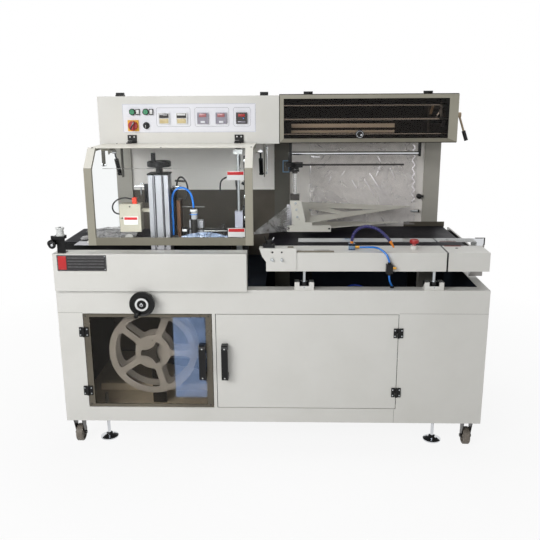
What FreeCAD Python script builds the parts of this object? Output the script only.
import FreeCAD, Part
import math
import os
import re
import Sketcher

Vector = FreeCAD.Vector
Rotation = FreeCAD.Rotation

# Driving dimensions in millimetres, measured from the base cabinet's left front corner and the floor
SIZES = [
    # Base cabinet
    ("base_length", 1720), ("base_depth", 800), ("base_bottom", 128), ("base_top", 698), ("wall", 3),
    ("deck_length", 835), ("rim_front", 55), ("rim_side", 35), ("partition_x", 627),
    ("door_bottom", 191), ("door_top", 599), ("door_gap", 2.5), ("door_depth", 20),
    ("reel_door_left", 100), ("reel_door_width", 522), ("door_stile", 13), ("cabinet_door_width", 734),
    ("door_border", 24), ("window_lip", 3), ("window_thick", 4), ("window_lap", 7),
    ("handle_width", 26), ("handle_length", 149), ("handle_reach", 37), ("handle_bottom", 325),
    ("handle_bar", 13), ("handle_foot", 24), ("handle_inset", 40),
    # Surface hinges of the doors
    ("hinge_leaf", 19), ("hinge_height", 40), ("hinge_thick", 4), ("knuckle_radius", 4.5),
    ("pin_radius", 2.5), ("running_gap", 0.05), ("knuckle_gap", 0.3), ("hinge_low", 265), ("hinge_high", 521),
    ("hinge_step", 2),
    # Waste film reel
    ("reel_x", 362), ("reel_z", 408), ("reel_front", 72), ("reel_width", 80), ("reel_radius", 184),
    ("rim_width", 27), ("hub_disc", 74), ("spoke_width", 26), ("flange_thick", 5), ("window_round", 12),
    ("hub_radius", 30), ("axle_radius", 10), ("reel_knob_radius", 46), ("reel_knob_depth", 22),
    ("spoke_count", 5), ("axle_plate", 60),
    # Height handwheel on the base front
    ("wheel_x", 354), ("wheel_z", 653), ("wheel_radius", 50), ("wheel_front", -52), ("wheel_depth", 24),
    ("wheel_web", 7), ("wheel_rim", 9), ("ring_outer", 28), ("ring_inner", 18.5), ("hex_radius", 11),
    ("shaft_radius", 8), ("grip_radius", 9), ("grip_length", 44), ("grip_offset_x", -16), ("grip_offset_z", -36),
    ("grip_pin", 4), ("collar_radius", 14),
    # Front cover under the hood
    ("cover_left", 5), ("cover_width", 760), ("cover_front", -20), ("cover_back", 54), ("cover_top", 849),
    # Overhead boxes and their columns
    ("box_left", 125), ("box_width", 763), ("box_front", 332), ("box_back", 680), ("box_bottom", 1247),
    ("box_top", 1444), ("housing_width", 747), ("housing_top", 1449), ("housing_slot", 40),
    ("column_depth", 60), ("column_front", 605), ("column_wide", 72), ("column_left_x", 118),
    ("column_mid_x", 861), ("column_right_x", 1556), ("back_plate_y", 620), ("dark_top", 1014),
    ("film_door_depth", 18), ("film_stile", 38), ("film_border", 16), ("film_knob_x", 1225),
    ("film_knob_z", 1285), ("film_knob_radius", 17), ("film_hinge_left", 990), ("film_hinge_right", 1487),
    # Control panel
    ("panel_left", 229), ("panel_width", 561), ("panel_low", 1295), ("panel_high", 118), ("panel_thick", 1.2),
    ("meter_size", 46), ("meter_low", 1330), ("meter_depth", 9), ("button_radius", 10), ("button_z", 1380),
    ("start_x", 272), ("stop_x", 329), ("bezel_width", 3.5), ("bezel_depth", 8), ("button_length", 12),
    ("button_travel", 3), ("switch_x", 273), ("switch_z", 1324), ("switch_plate", 46), ("switch_radius", 19),
    ("switch_depth", 24), ("selector_x", 328), ("selector_radius", 11), ("selector_depth", 14),
    # Safety hood
    ("hood_left", 147), ("hood_width", 645), ("hood_strip", 30), ("hood_thick", 14), ("hood_bottom", 879),
    ("hood_bend", 1179), ("hood_top", 1251), ("hood_bevel", 75), ("hood_back", 316), ("hood_sheet", 3),
    ("hood_pivot_y", 325), ("hood_pivot_z", 1256), ("hood_hinge_left", 246), ("hood_hinge_right", 700),
    ("hood_hinge_wide", 38), ("strut_foot_y", 345), ("strut_foot_z", 1120), ("strut_head_y", 275),
    ("strut_head_z", 1218), ("strut_radius", 9), ("strut_rod", 4), ("strut_tube", 80), ("strut_eye", 7),
    ("strut_eye_wide", 16), ("strut_right_x", 811), ("strut_left_x", 200), ("stud_radius", 4),
    ("strut_plate", 4),
    # Side sealing unit
    ("post_x", 380), ("post_y", 60), ("post_wide", 78), ("post_deep", 80), ("post_top", 1145),
    ("groove_wide", 9), ("groove_deep", 10), ("post_bore", 20), ("cap_thick", 6), ("knob_wheel_z", 1174),
    ("knob_wheel_high", 22), ("knob_wheel_radius", 47), ("post_grip_x", 22), ("post_grip_top", 1228),
    ("head_gap", 0.4), ("head_bottom", 862), ("head_plate", 12), ("head_top", 1030), ("head_travel", 40),
    ("blade_x", 484), ("blade_wide", 14), ("blade_top", 1042), ("head_right", 690), ("cylinder_x", 548),
    ("cylinder_radius", 13), ("cylinder_low", 955), ("cylinder_top", 1010), ("nip_radius", 16),
    ("junction_x", 262), ("junction_wide", 80), ("junction_low", 923), ("junction_high", 107),
    ("junction_deep", 60), ("guide_x", 727), ("guide_y", 150), ("guide_radius", 5), ("guide_top", 1219),
    ("guide_block", 31), ("guide_block_low", 924), ("guide_block_high", 66),
    # Belt conveyors
    ("belt_front", 172), ("infeed_back", 593), ("belt_thick", 2.5), ("roller_radius", 18), ("rail_thick", 6),
    ("rail_gap", 3), ("infeed_left", 837), ("infeed_right", 1665), ("infeed_top", 843), ("rail_high", 60),
    ("outfeed_left", -29), ("outfeed_right", 690), ("outfeed_top", 855), ("outfeed_back", 470),
    ("axle_small", 6), ("bed_thick", 4), ("conveyor_leg", 40), ("leg_left_x", 1000), ("leg_right_x", 1500),
    # Infeed covers and fittings
    ("table_left", 840), ("table_low", 768), ("table_front", 29), ("seam_left", 1549), ("seam_wide", 7),
    ("table_right", 1718), ("sheet", 2), ("fence_y", 200), ("fence_left", 969), ("fence_right", 1740),
    ("fence_low", 705), ("fence_top", 866), ("fence_strip", 16), ("fence_leg", 56), ("estop_x", 1432),
    ("estop_y", 100), ("estop_radius", 19), ("estop_ring", 14), ("estop_base", 15), ("estop_travel", 5),
    ("mount_left_x", 953), ("mount_right_x", 1463), ("mount_wide", 76), ("mount_high", 32), ("mount_deep", 40),
    ("air_x", 1169), ("air_y", 80), ("air_wide", 26), ("air_high", 25), ("valve_x", 1311), ("valve_low", 764),
    ("valve_wide", 26), ("valve_high", 36), ("valve_deep", 25), ("gland_x", 1341), ("gland_y", 40),
    ("hose_radius", 6.5), ("tube_radius", 4), ("cable_radius", 3),
    # Film path and forming head
    ("hanger_x", 930), ("hanger_y", 424), ("hanger_low", 1126), ("idler_z", 1198), ("idler_y", 430),
    ("idler_radius", 8), ("idler_right", 1492), ("forming_x", 955), ("forming_y", 370), ("forming_rod", 8),
    ("palm_radius", 42), ("palm_high", 29), ("forming_low", 985), ("clamp_low", 1002), ("clamp_high", 26),
    ("bar_left", 921), ("bar_long", 192), ("bar_low", 864), ("bar_high", 28), ("bar_deep", 12),
    ("plate_tilt", 16), ("plate_thick", 3), ("web_left", 1024), ("web_wide", 496), ("web_y", 603.5),
    ("web_low", 851), ("web_thick", 1.2),
    # Clamp lever on the film housing
    ("lever_y", 380), ("lever_z", 1360), ("lever_tilt", 19), ("lever_long", 70), ("lever_grip", 42),
    # Feet and casters
    ("foot_left_x", 145), ("foot_right_in", 172), ("foot_front_y", 105), ("foot_back_y", 695),
    ("foot_radius", 38), ("foot_stem", 6.75), ("foot_height", 205), ("foot_clear", 0.6), ("caster_left_x", 34),
    ("caster_right_in", 40), ("caster_front_y", 48), ("caster_back_y", 742), ("caster_radius", 37),
    ("caster_lift", 2), ("caster_wide", 30),
    ("caster_trail", 22), ("fork_thick", 3), ("caster_plate", 70), ("caster_axle", 4),
    # Outer limits that centre the frame under the machine
    ("reach_left", -29), ("reach_right", 1740), ("reach_front", -96), ("reach_back", 800),
]

document = FreeCAD.newDocument("SideSealer")
sheet = document.addObject("Spreadsheet::Sheet", "Sizes")
for row, (alias, number) in enumerate(SIZES, start=1):
    sheet.set("A%d" % row, alias)
    sheet.set("B%d" % row, str(number))
    sheet.setAlias("B%d" % row, alias)
document.recompute()

ALIASES = {alias for alias, number in SIZES}
N = dict(SIZES)
PARTS = []


def formula(text):
    """Name the sheet in front of each alias."""
    def name_sheet(match):
        word = match.group(0)
        return "Sizes." + word if word in ALIASES else word
    return re.sub(r"[a-z][a-z0-9_]*", name_sheet, str(text))


MIDDLE_X = "(reach_left + reach_right) / 2"
MIDDLE_Y = "(reach_front + reach_back) / 2"


def put(piece, at, rotation=None):
    """Place a piece by three formulas and an optional turn."""
    if rotation is not None:
        piece.Placement = FreeCAD.Placement(Vector(0, 0, 0), rotation)
    for axis, text in zip("xyz", at):
        piece.setExpression("Placement.Base." + axis, formula(text))
    return piece


def box(name, at, size):
    """A block from its low corner and its three sizes."""
    piece = document.addObject("Part::Box", name)
    for side, text in zip(("Length", "Width", "Height"), size):
        piece.setExpression(side, formula(text))
    return put(piece, at)


TURNS = {"z": Rotation(), "y": Rotation(Vector(1, 0, 0), -90), "x": Rotation(Vector(0, 1, 0), 90)}


def bar(name, along, at, radius, length):
    """A round bar that starts at a point and runs along one axis."""
    piece = document.addObject("Part::Cylinder", name)
    piece.setExpression("Radius", formula(radius))
    piece.setExpression("Height", formula(length))
    return put(piece, at, TURNS[along])


def fuse(name, pieces):
    """Pieces welded or moulded as one."""
    joined = document.addObject("Part::MultiFuse", name)
    joined.Shapes = pieces
    return joined


def cut(name, base, tools):
    """A piece less its openings."""
    tool = tools[0] if len(tools) == 1 else fuse(name + "_tools", tools)
    result = document.addObject("Part::Cut", name)
    result.Base = base
    result.Tool = tool
    return result


def group(name, pieces):
    """Separate solids that belong to one sub-part."""
    result = document.addObject("Part::Compound", name)
    result.Links = pieces
    return result


def finish(label, piece, extra=("0", "0", "0")):
    """Name a sub-part and place it in the machine's centred frame."""
    piece.Label = label
    piece.setExpression("Placement.Base.x", formula("%s - %s" % (extra[0], MIDDLE_X)))
    piece.setExpression("Placement.Base.y", formula("%s - %s" % (extra[1], MIDDLE_Y)))
    piece.setExpression("Placement.Base.z", formula(extra[2]))
    PARTS.append(piece)


def new_body(name, plane):
    """A body with an empty sketch on one of its origin planes."""
    body = document.addObject("PartDesign::Body", name)
    sketch = body.newObject("Sketcher::SketchObject", name + "_sketch")
    attach(body, sketch, plane)
    return body, sketch


def attach(body, sketch, plane):
    """Lay a sketch on one of the body's own planes."""
    support = [item for item in body.Origin.OriginFeatures if item.Role == plane][0]
    sketch.AttachmentSupport = [(support, "")]
    sketch.MapMode = "FlatFace"


def outline(sketch, corners):
    """A closed line through corners, each held by two bound distances."""
    count = len(corners)
    first = sketch.GeometryCount
    for index in range(count):
        here = 2 * math.pi * index / count
        there = 2 * math.pi * (index + 1) / count
        start = Vector(60 * math.cos(here), 60 * math.sin(here), 0)
        end = Vector(60 * math.cos(there), 60 * math.sin(there), 0)
        sketch.addGeometry(Part.LineSegment(start, end))
    for index in range(count):
        following = first + (index + 1) % count
        sketch.addConstraint(Sketcher.Constraint("Coincident", first + index, 2, following, 1))
    for index, (across, up) in enumerate(corners):
        for kind, text in (("DistanceX", across), ("DistanceY", up)):
            place = sketch.addConstraint(Sketcher.Constraint(kind, -1, 1, first + index, 1, 1.0))
            sketch.setExpression("Constraints[%d]" % place, formula(text))


def circle(sketch, across, up, radius):
    """A circle with a bound centre and radius."""
    index = sketch.addGeometry(Part.Circle(Vector(1, 1, 0), Vector(0, 0, 1), 5))
    for kind, text in (("DistanceX", across), ("DistanceY", up)):
        place = sketch.addConstraint(Sketcher.Constraint(kind, -1, 1, index, 3, 1.0))
        sketch.setExpression("Constraints[%d]" % place, formula(text))
    place = sketch.addConstraint(Sketcher.Constraint("Radius", index, 5.0))
    sketch.setExpression("Constraints[%d]" % place, formula(radius))


def extrude(name, plane, corners, length, holes=()):
    """A body padded from a closed outline with round holes."""
    body, sketch = new_body(name, plane)
    outline(sketch, corners)
    for across, up, radius in holes:
        circle(sketch, across, up, radius)
    pad = body.newObject("PartDesign::Pad", name + "_pad")
    pad.Profile = sketch
    pad.setExpression("Length", formula(length))
    return body


def turned(name, corners):
    """A body revolved about its own Z axis from a half profile."""
    body, sketch = new_body(name, "XZ_Plane")
    outline(sketch, corners)
    turn = body.newObject("PartDesign::Revolution", name + "_turn")
    turn.Profile = sketch
    turn.ReferenceAxis = (sketch, ["V_Axis"])
    turn.Angle = 360
    return body


# Base cabinet


def make_base():
    """Front sheet with both door openings, the walls behind it and the conveyor mounts."""
    upper = box("front_upper", ("0", "0", "door_top"), ("base_length", "wall", "base_top - door_top"))
    bore = bar("wheel_bore", "y", ("wheel_x", "-1", "wheel_z"), "shaft_radius + running_gap", "wall + 2")
    pieces = [cut("front_upper_cut", upper, [bore]),
              box("front_lower", ("0", "0", "base_bottom"), ("base_length", "wall", "door_bottom - base_bottom")),
              box("front_rim", ("0", "wall", "base_top - wall"), ("base_length", "rim_front - wall", "wall"))]
    reel_right = "reel_door_left + reel_door_width"
    cabinet_right = reel_right + " + door_stile + cabinet_door_width"
    for tag, left, wide in (("left", "0", "reel_door_left"), ("middle", reel_right, "door_stile"),
                            ("right", cabinet_right, "base_length - (%s)" % cabinet_right)):
        pieces.append(box("front_" + tag, (left, "0", "door_bottom"), (wide, "wall", "door_top - door_bottom")))
    for number, start in enumerate(("mount_left_x", "mount_right_x"), start=1):
        block = box("mount_%d" % number, (start, "5", "base_top"), ("mount_wide", "mount_deep", "mount_high"))
        slot = box("mount_slot_%d" % number, (start + " + mount_wide / 4", "3", "base_top + mount_high / 2"),
                   ("mount_wide / 2", "mount_deep + 4", "mount_high"))
        hat = cut("mount_hat_%d" % number, block, [slot])
        middle = start + " + mount_wide / 2"
        nut = bar("mount_nut_%d" % number, "z", (middle, "5 + mount_deep / 2", "base_top + mount_high / 2"),
                  "mount_wide / 5", "mount_high / 2")
        screw = bar("mount_screw_%d" % number, "z", (middle, "5 + mount_deep / 2", "base_top + mount_high"),
                    "mount_wide / 12", "table_low - base_top - mount_high")
        pieces += [hat, nut, screw]
    finish("base_front", group("base_front_group", pieces))


def make_shell():
    """Walls, floor, partition, deck, reel axle and caster plates behind the front sheet."""
    inner_long = "base_length - 2 * wall"
    inner_deep = "base_depth - 2 * wall"
    wall_high = "base_top - base_bottom"
    floor = box("floor", ("wall", "wall", "base_bottom"), (inner_long, inner_deep, "wall"))
    holes = []
    for x in ("foot_left_x", "base_length - foot_right_in"):
        for y in ("foot_front_y", "foot_back_y"):
            holes.append(bar("stem_hole", "z", (x, y, "base_bottom - 1"), "foot_stem + foot_clear", "wall + 2"))
    pieces = [cut("floor_cut", floor, holes)]
    pieces.append(box("left_wall", ("0", "wall", "base_bottom"), ("wall", "base_depth - wall", wall_high + " - wall")))
    pieces.append(box("right_wall", ("base_length - wall", "wall", "base_bottom"),
                      ("wall", "base_depth - wall", wall_high + " - wall")))
    pieces.append(box("rear_wall", ("wall", "base_depth - wall", "base_bottom"), (inner_long, "wall", wall_high)))
    pieces.append(box("partition", ("partition_x", "wall", "base_bottom + wall"),
                      ("wall", inner_deep, wall_high + " - 2 * wall")))
    pieces.append(box("deck", ("0", "rim_front", "base_top - wall"),
                      ("deck_length", "base_depth - wall - rim_front", "wall")))
    pieces.append(box("side_rim", ("base_length - rim_side", "rim_front", "base_top - wall"),
                      ("rim_side", "base_depth - wall - rim_front", "wall")))
    plate_y = "reel_front + reel_width + 20"
    plate = box("axle_plate_up", ("reel_x - axle_plate / 2", plate_y, "base_bottom + wall"),
                ("axle_plate", "wall * 2", "reel_z - base_bottom - wall + axle_plate / 2"))
    pieces.append(plate)
    pieces.append(bar("reel_axle", "y", ("reel_x", "reel_front + 0.5", "reel_z"), "axle_radius", "reel_width"))
    pieces.append(bar("axle_collar", "y", ("reel_x", "reel_front + reel_width + 0.5", "reel_z"),
                      "axle_radius + 6", "19.5"))
    for x in ("caster_left_x", "base_length - caster_right_in"):
        for y in ("caster_front_y", "caster_back_y"):
            pad = box("caster_pad", (x + " - caster_plate / 2 + 2", y + " - caster_plate / 2", "base_bottom - wall"),
                      ("caster_plate - 4", "caster_plate", "wall"))
            race = bar("caster_race", "z", (x, y, "base_bottom - 2 * wall - 2"), "caster_plate / 3", "wall + 2")
            pieces.append(fuse("caster_base", [pad, race]))
    finish("base_shell", group("base_shell_group", pieces))


def make_front_cover():
    """Folded cover over the sealing jaw, open underneath."""
    outer = box("cover_outer", ("cover_left", "cover_front", "base_top"),
                ("cover_width", "cover_back - cover_front", "cover_top - base_top"))
    rounded = document.addObject("Part::Fillet", "cover_fillet")
    rounded.Base = outer
    document.recompute()
    edges = []
    for number, edge in enumerate(outer.Shape.Edges, start=1):
        middle = edge.CenterOfMass
        if abs(middle.y - N["cover_front"]) < 0.01 and abs(middle.z - N["cover_top"]) < 0.01:
            edges.append((number, 3.0, 3.0))
    rounded.Edges = edges
    inner = box("cover_inner", ("cover_left + sheet", "cover_front + sheet", "base_top - 1"),
                ("cover_width - 2 * sheet", "cover_back - cover_front - 2 * sheet", "cover_top - base_top - sheet + 1"))
    finish("left_cover", cut("cover_shell", rounded, [inner]))


# Doors and their surface hinges


def hinge_spots():
    """Axis place and opening side of the four door hinges."""
    right = "reel_door_left + reel_door_width + door_stile + cabinet_door_width"
    return [("reel_door_left + door_gap / 2", 1), (right + " - door_gap / 2", -1)]


def hinge_half(name, axis_x, low, side, moving):
    """One leaf with its knuckle: the moving leaf carries the upper knuckle."""
    reach = side if moving else -side
    half = "hinge_height / 2 - knuckle_gap / 2"
    start = low + " + hinge_height / 2 + knuckle_gap / 2" if moving else low
    axis_y = "-knuckle_radius - 0.5"
    barrel = bar(name + "_knuckle", "z", (axis_x, axis_y, start), "knuckle_radius", half)
    clear = "(knuckle_radius + 1)"
    leaf_x = axis_x + " + " + clear if reach > 0 else axis_x + " - hinge_leaf"
    leaf = box(name + "_leaf", (leaf_x, "-hinge_thick", low), ("hinge_leaf - " + clear, "hinge_thick", "hinge_height"))
    web_x = axis_x if reach > 0 else axis_x + " - " + clear
    web = box(name + "_web", (web_x, "-hinge_thick", start), (clear, "hinge_thick - 0.4", half))
    joined = fuse(name + "_joined", [barrel, leaf, web])
    if not moving:
        pin = bar(name + "_pin", "z", (axis_x, axis_y, low), "pin_radius", "hinge_height")
        return fuse(name, [joined, pin])
    bore = bar(name + "_bore", "z", (axis_x, axis_y, low), "pin_radius + running_gap", "hinge_height")
    return cut(name, joined, [bore])


def pull_handle(name, middle_x, seat_y):
    """Black bow handle: an arched profile with two feet."""
    low = "handle_bottom"
    high = "handle_bottom + handle_length"
    inner = "handle_bar - handle_reach"
    foot = "handle_foot - 4"
    profile = [
        (seat_y, low), ("9 - handle_reach", low), ("3 - handle_reach", low + " + 4"), ("-handle_reach", low + " + 12"),
        ("-handle_reach", high + " - 12"), ("3 - handle_reach", high + " - 4"), ("9 - handle_reach", high),
        (seat_y, high), (seat_y, high + " - handle_foot"), (inner, "%s - (%s)" % (high, foot)),
        (inner, "%s + %s" % (low, foot)), (seat_y, low + " + handle_foot")]
    bow = extrude(name + "_bow", "YZ_Plane", profile, "handle_width")
    return put(bow, (middle_x + " - handle_width / 2", "0", "0"))


def ring_of_bars(name, at, size, deep, side, end):
    """Four straight bars round a door: two uprights and the two ends between them."""
    x, y, z = at
    wide, high = size
    bars = [box(name + "_left", (x, y, z), (side, deep, high)),
            box(name + "_right", ("%s + %s - (%s)" % (x, wide, side), y, z), (side, deep, high))]
    between = "%s - 2 * (%s)" % (wide, side)
    bars.append(box(name + "_low", ("%s + %s" % (x, side), y, z), (between, deep, end)))
    bars.append(box(name + "_high", ("%s + %s" % (x, side), y, "%s + %s - (%s)" % (z, high, end)),
                    (between, deep, end)))
    return bars


def make_doors():
    """Reel door with a tinted window and the plain cabinet door, both folded pans."""
    (left_axis, left_side), (right_axis, right_side) = hinge_spots()
    low = "door_bottom + door_gap"
    high = "door_top - door_bottom - 2 * door_gap"
    reel_x = "reel_door_left + door_gap"
    reel_wide = "reel_door_width - 2 * door_gap"
    rebate_x = reel_x + " + door_border - window_lap"
    rebate_z = low + " + door_border / 2 - window_lap"
    rebate_wide = reel_wide + " - 2 * door_border + 2 * window_lap"
    rebate_high = high + " - door_border + 2 * window_lap"
    frame = ring_of_bars("reel_lip", (reel_x, "0", low), (reel_wide, high), "window_lip",
                         "door_border", "door_border / 2")
    frame += ring_of_bars("reel_edge", (reel_x, "window_lip", low), (reel_wide, high), "door_depth - window_lip",
                          "door_border - window_lap", "door_border / 2 - window_lap")
    leaves = [hinge_half("reel_leaf_%d" % number, left_axis, spot + " - hinge_height / 2", left_side, True)
              for number, spot in enumerate(("hinge_low", "hinge_high"), start=1)]
    handle_x = "reel_door_left + reel_door_width - handle_inset"
    handle = pull_handle("reel_handle", handle_x, "window_lip")
    finish("reel_door", group("reel_door_group", frame + [handle] + leaves))
    window = box("reel_window", (rebate_x, "window_lip", rebate_z), (rebate_wide, "window_thick", rebate_high))
    finish("reel_door_window", group("reel_window_group", [window]))

    pan_x = "reel_door_left + reel_door_width + door_stile + door_gap"
    pan_wide = "cabinet_door_width - 2 * door_gap"
    skin = [box("cabinet_skin", (pan_x, "0", low), (pan_wide, "sheet", high))]
    skin += ring_of_bars("cabinet_edge", (pan_x, "sheet", low), (pan_wide, high), "door_depth - sheet",
                         "sheet", "sheet")
    leaves = [hinge_half("cabinet_leaf_%d" % number, right_axis, spot + " - hinge_height / 2", right_side, True)
              for number, spot in enumerate(("hinge_low", "hinge_high"), start=1)]
    handle = pull_handle("cabinet_handle", pan_x + " + handle_inset - door_gap - 3", "0")
    finish("cabinet_door", group("cabinet_door_group", skin + [handle] + leaves))


def slim_hinge(name, left, wide, pivot_y, pivot_z, moving, leaf):
    """Half of a top hinge whose axis runs along X; the moving half has the left knuckle."""
    half = wide + " / 2 - knuckle_gap / 2"
    start = left if moving else left + " + " + wide + " / 2 + knuckle_gap / 2"
    barrel = bar(name + "_knuckle", "x", (start, pivot_y, pivot_z), "knuckle_radius", half)
    joined = fuse(name + "_joined", [barrel] + leaf(name, start, half))
    if not moving:
        pin = bar(name + "_pin", "x", (left, pivot_y, pivot_z), "pin_radius", wide)
        return fuse(name, [joined, pin])
    bore = bar(name + "_bore", "x", (left, pivot_y, pivot_z), "pin_radius + running_gap", wide)
    return cut(name, joined, [bore])


FILM_PIVOT_Y = "box_front + film_door_depth"
FILM_PIVOT_Z = "housing_top + knuckle_radius + 1.5"


def hood_fixed_leaf(name, start, half):
    """Leaf screwed to the control box front above the hood."""
    leaf = box(name + "_leaf", (start, "box_front - hinge_thick", "hood_pivot_z"), (half, "hinge_thick", "29"))
    rest = box(name + "_rest", (start + " - hood_hinge_wide / 2", "box_front - hinge_thick", "hood_pivot_z + 6"),
               ("hood_hinge_wide / 2 + 1", "hinge_thick", "23"))
    web = box(name + "_web", (start, "hood_pivot_y", "hood_pivot_z + 1"), (half, "box_front - hood_pivot_y", "3.4"))
    return [leaf, rest, web]


def hood_moving_leaf(name, start, half):
    """Leaf screwed to the hood's top panel."""
    return [box(name + "_leaf", (start, "hood_back - 18", "hood_top"), (half, "18", "hood_pivot_z - hood_top - 1")),
            box(name + "_web", (start, "hood_back - 2", "hood_pivot_z - 3"), (half, "hood_pivot_y - hood_back + 2", "3"))]


def film_fixed_leaf(name, start, half):
    """Leaf on top of the film housing."""
    return [box(name + "_leaf", (start, FILM_PIVOT_Y, "housing_top"), (half, "26", "hinge_thick"))]


def film_moving_leaf(name, start, half):
    """Leaf on the film door's top edge."""
    return [box(name + "_leaf", (start, FILM_PIVOT_Y + " - 9", "housing_top - 3"), (half, "8", "9"))]


def make_fixed_hinges():
    """Fixed leaves and pins of every hinge on the machine."""
    pieces = []
    for tag, (axis, side) in zip(("reel", "cabinet"), hinge_spots()):
        for number, spot in enumerate(("hinge_low", "hinge_high"), start=1):
            pieces.append(hinge_half("%s_fixed_%d" % (tag, number), axis, spot + " - hinge_height / 2", side, False))
    for number, left in enumerate(("hood_hinge_left", "hood_hinge_right"), start=1):
        pieces.append(slim_hinge("hood_fixed_%d" % number, left, "hood_hinge_wide", "hood_pivot_y", "hood_pivot_z",
                                 False, hood_fixed_leaf))
    for number, left in enumerate(("film_hinge_left", "film_hinge_right"), start=1):
        pieces.append(slim_hinge("film_fixed_%d" % number, left, "hood_hinge_wide", FILM_PIVOT_Y, FILM_PIVOT_Z,
                                 False, film_fixed_leaf))
    for number, left in enumerate(("hood_hinge_left - 45", "hood_hinge_right + 108"), start=1):
        block = box("lid_hinge_%d" % number, (left, "box_front + 10", "box_top"), ("34", "30", "6"))
        barrel = bar("lid_barrel_%d" % number, "x", (left, "box_front + 25", "box_top + 8"), "7", "34")
        pieces.append(fuse("lid_top_%d" % number, [block, barrel]))
    finish("hinge_leaves", group("hinge_group", pieces))


# Waste film reel


def reel_flange(name, back_y):
    """Spoked flange: one rounded window cut through the disc and repeated round the hub."""
    body, sketch = new_body(name, "XZ_Plane")
    circle(sketch, "0", "0", "reel_radius")
    circle(sketch, "0", "0", "axle_radius + running_gap")
    pad = body.newObject("PartDesign::Pad", name + "_disc")
    pad.Profile = sketch
    pad.setExpression("Length", formula("flange_thick"))
    window = body.newObject("Sketcher::SketchObject", name + "_window")
    attach(body, window, "XZ_Plane")
    outer = N["reel_radius"] - N["rim_width"]
    inner = N["hub_disc"]
    corners = []
    for radius in (inner, outer):
        swing = math.pi / N["spoke_count"] - math.asin(N["spoke_width"] / 2 / radius)
        corners.append((radius, swing))
    points = []
    for radius, swing in corners:
        points.append(Vector(radius * math.cos(-swing), radius * math.sin(-swing), 0))
        points.append(Vector(radius * math.cos(swing), radius * math.sin(swing), 0))
    centre = Vector(0, 0, 0)
    normal = Vector(0, 0, 1)
    arc_in = Part.ArcOfCircle(Part.Circle(centre, normal, inner), -corners[0][1], corners[0][1])
    arc_out = Part.ArcOfCircle(Part.Circle(centre, normal, outer), -corners[1][1], corners[1][1])
    window.addGeometry(arc_in)
    window.addGeometry(arc_out)
    window.addGeometry(Part.LineSegment(points[0], points[2]))
    window.addGeometry(Part.LineSegment(points[1], points[3]))
    links = [(2, 1, 0, 1), (2, 2, 1, 1), (3, 1, 0, 2), (3, 2, 1, 2)]
    for line, end, arc, arc_end in links:
        window.addConstraint(Sketcher.Constraint("Coincident", line, end, arc, arc_end))
    for arc, radius in ((0, "hub_disc"), (1, "(reel_radius - rim_width)")):
        window.addConstraint(Sketcher.Constraint("Coincident", arc, 3, -1, 1))
        swing = "(180deg / spoke_count - asin(spoke_width / 2 / %s))" % radius
        holds = [("DistanceX", 1, "%s * cos(%s)"), ("DistanceY", 1, "-%s * sin(%s)"), ("DistanceY", 2, "%s * sin(%s)")]
        for kind, end, text in holds:
            point = window.getPoint(arc, end)
            near = point.x if kind == "DistanceX" else point.y
            place = window.addConstraint(Sketcher.Constraint(kind, -1, 1, arc, end, near))
            window.setExpression("Constraints[%d]" % place, formula(text % (radius, swing)))
    document.recompute()
    pocket = body.newObject("PartDesign::Pocket", name + "_pocket")
    pocket.Profile = window
    pocket.Type = "ThroughAll"
    pocket.Midplane = True
    pattern = body.newObject("PartDesign::PolarPattern", name + "_pattern")
    pattern.Originals = [pocket]
    pattern.Axis = (window, ["N_Axis"])
    pattern.Angle = 360
    pattern.setExpression("Occurrences", formula("spoke_count"))
    body.Tip = pattern
    document.recompute()
    corners_round = []
    for number, edge in enumerate(pattern.Shape.Edges, start=1):
        if len(edge.Vertexes) != 2 or edge.Curve.TypeId != "Part::GeomLine":
            continue
        across = edge.Length < N["flange_thick"] + 0.01
        if across and N["hub_disc"] - 5 < edge.CenterOfMass.Length < N["reel_radius"] - 5:
            corners_round.append("Edge%d" % number)
    rounded = body.newObject("PartDesign::Fillet", name + "_rounded")
    rounded.Base = (pattern, corners_round)
    rounded.setExpression("Radius", formula("window_round"))
    body.Tip = rounded
    put(body, ("reel_x", back_y, "reel_z"), Rotation(Vector(0, 1, 0), 39))
    return body


def lobed_knob(name, radius, depth, away, bite_size):
    """Three-point knob: a disc with three wide scallops, standing on its own Z axis."""
    body, sketch = new_body(name, "XY_Plane")
    circle(sketch, "0", "0", radius)
    pad = body.newObject("PartDesign::Pad", name + "_disc")
    pad.Profile = sketch
    pad.setExpression("Length", formula(depth))
    bite = body.newObject("Sketcher::SketchObject", name + "_bite")
    attach(body, bite, "XY_Plane")
    circle(bite, radius + " * " + away, "0", radius + " * " + bite_size)
    document.recompute()
    pocket = body.newObject("PartDesign::Pocket", name + "_scallop")
    pocket.Profile = bite
    pocket.Type = "ThroughAll"
    pocket.Midplane = True
    pattern = body.newObject("PartDesign::PolarPattern", name + "_pattern")
    pattern.Originals = [pocket]
    pattern.Axis = (bite, ["N_Axis"])
    pattern.Angle = 360
    pattern.Occurrences = 3
    body.Tip = pattern
    return body


def make_reel():
    """Two spoked flanges on a hub tube, locked by the three-point knob."""
    front = reel_flange("front_flange", "reel_front + flange_thick")
    rear = reel_flange("rear_flange", "reel_front + reel_width")
    tube = bar("hub_tube", "y", ("reel_x", "reel_front + flange_thick", "reel_z"), "hub_radius",
               "reel_width - 2 * flange_thick")
    bore = bar("hub_bore", "y", ("reel_x", "reel_front", "reel_z"), "axle_radius + running_gap", "reel_width")
    hub = cut("hub", tube, [bore])
    knob = lobed_knob("reel_knob", "reel_knob_radius", "reel_knob_depth", "1.55", "1.17")
    put(knob, ("reel_x", "reel_front - reel_knob_depth", "reel_z"), Rotation(Vector(1, 0, 0), -90))
    finish("waste_reel", group("waste_reel_group", [front, rear, hub, knob]))


# Handwheels


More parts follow.
